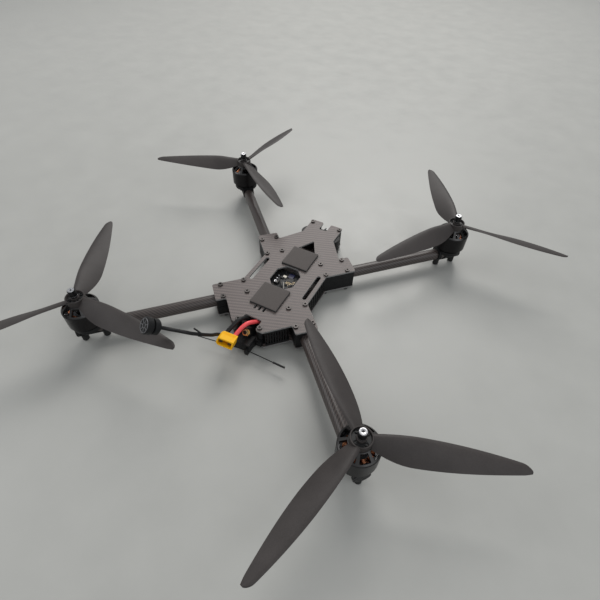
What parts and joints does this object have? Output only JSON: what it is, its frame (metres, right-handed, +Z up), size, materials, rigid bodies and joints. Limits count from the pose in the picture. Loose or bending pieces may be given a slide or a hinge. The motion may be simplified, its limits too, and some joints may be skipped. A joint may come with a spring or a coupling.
{
  "type": "quadcopter",
  "caption": "FPV racing drone: X frame of carbon plates and round tube arms with a brushless motor and three-bladed propeller at each tip",
  "frame": {"origin": "centre of the belly plate's underside, where the four arm axes cross", "axes": "+X right, +Y forward (camera end), +Z up; propeller axes are vertical"},
  "size_m": [0.5511, 0.5596, 0.0919],
  "materials": {
    "carbon_plate": "satin",
    "carbon_tube": "gloss",
    "printed_black": "matte",
    "foot_rubber": "matte",
    "motor_black": "satin",
    "bearing_steel": "satin",
    "stator_steel": "satin",
    "copper": "gloss",
    "magnet": "gloss",
    "prop_plastic": "satin",
    "nut_metal": "satin",
    "circuit": "gloss",
    "can": "gloss",
    "lens_glass": "gloss",
    "screw_steel": "satin",
    "pad_foam": "matte",
    "gold": "gloss",
    "connector_amber": "satin",
    "wire_red": "satin",
    "wire_black": "satin",
    "wire_grey": "satin"
  },
  "bodies": {
    "airframe": {"top_plate": "carbon_plate", "bottom_plate": "carbon_plate", "arm_tube_fl": "carbon_tube", "arm_tube_fr": "carbon_tube", "arm_tube_rl": "carbon_tube", "arm_tube_rr": "carbon_tube", "arm_clamp_fl": "printed_black", "arm_clamp_fr": "printed_black", "arm_clamp_rl": "printed_black", "arm_clamp_rr": "printed_black", "motor_mount_fl": "printed_black", "motor_mount_fr": "printed_black", "motor_mount_rl": "printed_black", "motor_mount_rr": "printed_black", "landing_feet": "foot_rubber", "motor_bases": "motor_black", "motor_bearings": "bearing_steel", "stators": "stator_steel", "windings": "copper", "flight_controller": "circuit", "speed_controller": "circuit", "stack_posts": "screw_steel", "capacitor": "can", "receiver": "circuit", "video_transmitter": "motor_black", "camera_mount": "printed_black", "vent_guards": "printed_black", "rear_mount": "printed_black", "antenna_jack": "gold", "foam_pad_front": "pad_foam", "foam_pad_rear": "pad_foam", "frame_screws": "screw_steel", "motor_screws": "screw_steel", "motor_leads": "wire_grey", "battery_connector": "connector_amber", "connector_pins": "gold", "power_lead_red": "wire_red", "power_lead_black": "wire_black", "antenna_head": "printed_black", "antenna_lead": "wire_black", "receiver_antenna": "wire_black"},
    "camera": {"camera_housing": "printed_black", "camera_lens": "lens_glass", "camera_screws": "bearing_steel"},
    "rotor_fl": {"motor_bell_fl": "motor_black", "magnets_fl": "magnet", "propeller_fl": "prop_plastic", "prop_nut_fl": "nut_metal"},
    "rotor_fr": {"motor_bell_fr": "motor_black", "magnets_fr": "magnet", "propeller_fr": "prop_plastic", "prop_nut_fr": "nut_metal"},
    "rotor_rl": {"motor_bell_rl": "motor_black", "magnets_rl": "magnet", "propeller_rl": "prop_plastic", "prop_nut_rl": "nut_metal"},
    "rotor_rr": {"motor_bell_rr": "motor_black", "magnets_rr": "magnet", "propeller_rr": "prop_plastic", "prop_nut_rr": "nut_metal"}
  },
  "joints": [
    {"name": "camera_tilt", "type": "hinge", "parent": "airframe", "child": "camera", "pos_m": [0, 0.106, 0.0135], "axis": [1, 0, 0], "range_deg": [-15, 35]},
    {"name": "rotor_spin_fl", "type": "hinge", "parent": "airframe", "child": "rotor_fl", "pos_m": [-0.15486, 0.15486, 0.045], "axis": [0, 0, 1], "continuous": true},
    {"name": "rotor_spin_fr", "type": "hinge", "parent": "airframe", "child": "rotor_fr", "pos_m": [0.15486, 0.15486, 0.045], "axis": [0, 0, 1], "continuous": true},
    {"name": "rotor_spin_rl", "type": "hinge", "parent": "airframe", "child": "rotor_rl", "pos_m": [-0.15486, -0.15486, 0.045], "axis": [0, 0, 1], "continuous": true},
    {"name": "rotor_spin_rr", "type": "hinge", "parent": "airframe", "child": "rotor_rr", "pos_m": [0.15486, -0.15486, 0.045], "axis": [0, 0, 1], "continuous": true}
  ]
}
